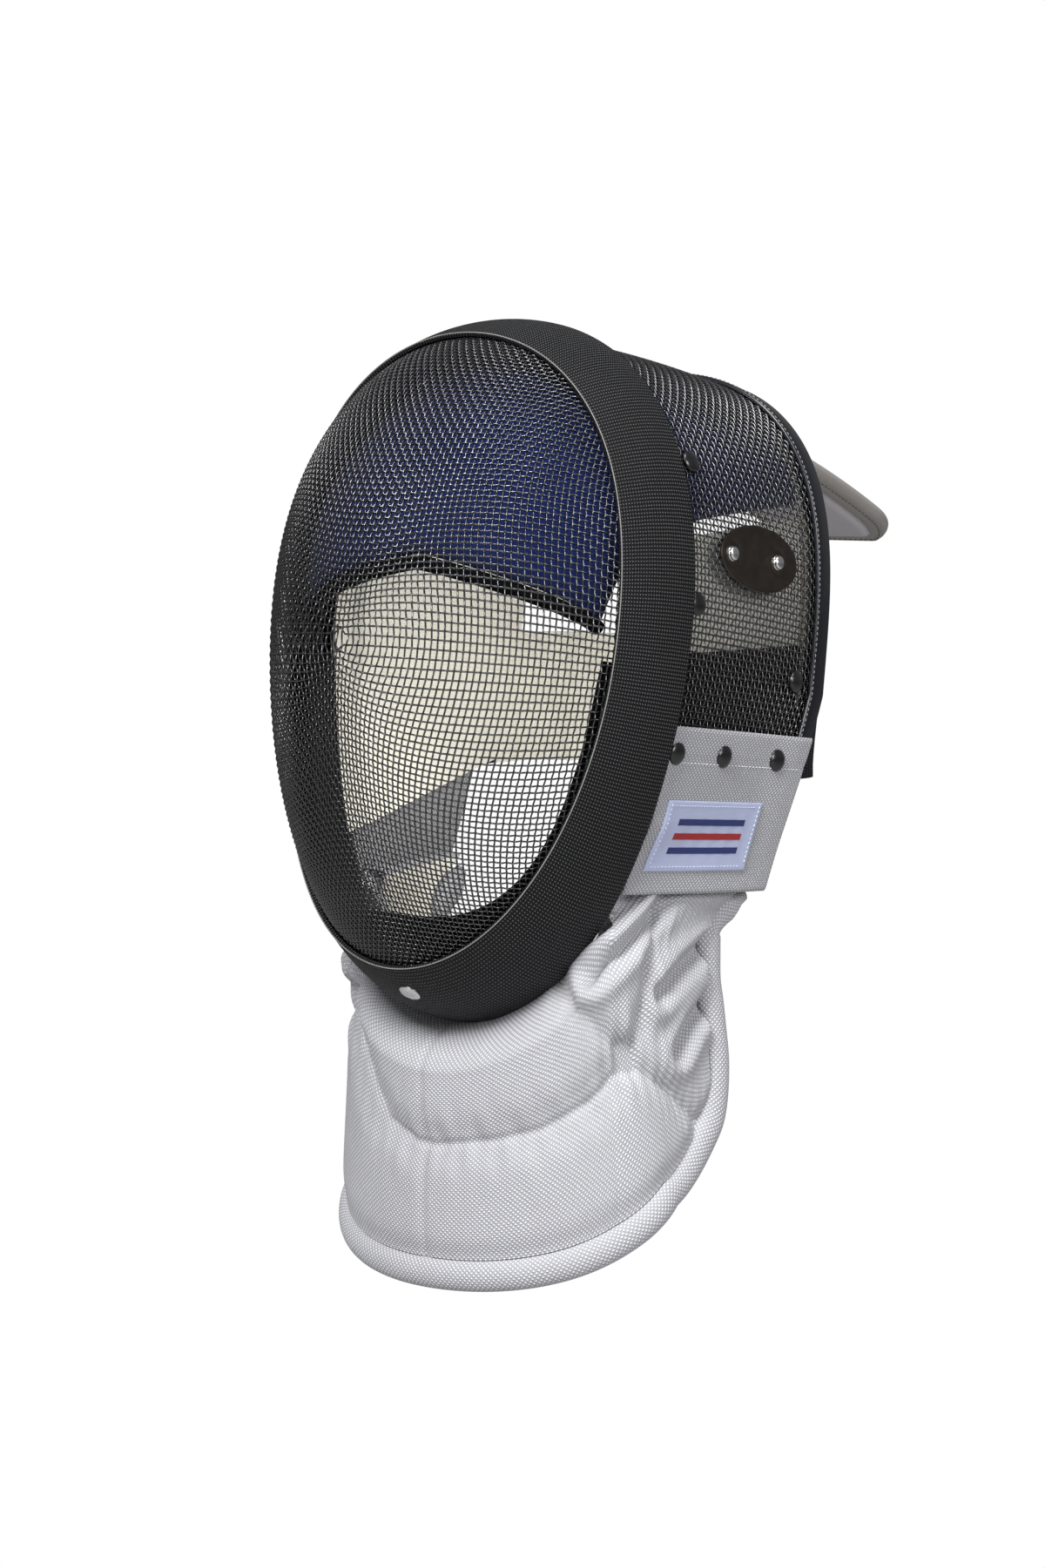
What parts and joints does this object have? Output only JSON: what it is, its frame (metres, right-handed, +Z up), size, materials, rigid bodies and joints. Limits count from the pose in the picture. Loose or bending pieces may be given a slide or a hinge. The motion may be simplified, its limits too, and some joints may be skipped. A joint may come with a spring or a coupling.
{
  "type": "fencing mask",
  "caption": "Protective sports mask: a domed woven wire face with a dark bound rim, a mesh cover over crown and ears, a quilted white bib, riveted tabs, inner pads, a rear tongue and a strap.",
  "frame": {"origin": "where the underside of the crown pad rests on the top of the wearer's head, on the mask's plane of symmetry", "axes": "+Z up, the face looks along -Y, +X is the wearer's left"},
  "size_m": [0.2168, 0.4, 0.4505],
  "materials": {
    "wire_mesh": "matt black enamelled steel wire",
    "band_fabric": "dark grey bound imitation leather",
    "bib_fabric": "off-white quilted cloth",
    "hem_fabric": "off-white rolled cloth",
    "tab_fabric": "light grey cloth",
    "label_satin": "bluish grey satin",
    "plate_metal": "dark bronze lacquered metal",
    "bright_rivet": "bright metal",
    "dark_rivet": "black lacquered metal",
    "pad_fabric": "navy blue plush cloth",
    "black_fabric": "black cloth",
    "lining_fabric": "cream cloth",
    "tongue_border": "warm grey cloth",
    "tongue_panel": "lavender grey coated cloth"
  },
  "bodies": {
    "root": {"front_mesh": "wire_mesh", "rim_band": "band_fabric", "side_mesh": "wire_mesh", "rear_binding": "band_fabric", "bib": "bib_fabric", "bib_hem": "hem_fabric", "tab_left": "tab_fabric", "tab_right": "tab_fabric", "label": "label_satin", "side_plate": "plate_metal", "plate_rivet_front": "bright_rivet", "plate_rivet_rear": "bright_rivet", "chin_rivet": "bright_rivet", "crown_pad": "pad_fabric", "forehead_pad": "pad_fabric", "pad_binding": "black_fabric", "chin_pad": "black_fabric", "back_strap": "black_fabric", "lining_left": "lining_fabric", "lining_right": "lining_fabric", "tongue": "tongue_border", "tongue_panel": "tongue_panel", "tab_rivet_left_1": "dark_rivet", "tab_rivet_left_2": "dark_rivet", "tab_rivet_left_3": "dark_rivet", "mesh_rivet_left_1": "dark_rivet", "mesh_rivet_left_2": "dark_rivet", "mesh_rivet_left_3": "dark_rivet", "tab_rivet_right_1": "dark_rivet", "tab_rivet_right_2": "dark_rivet", "tab_rivet_right_3": "dark_rivet", "mesh_rivet_right_1": "dark_rivet", "mesh_rivet_right_2": "dark_rivet", "mesh_rivet_right_3": "dark_rivet"}
  },
  "joints": []
}
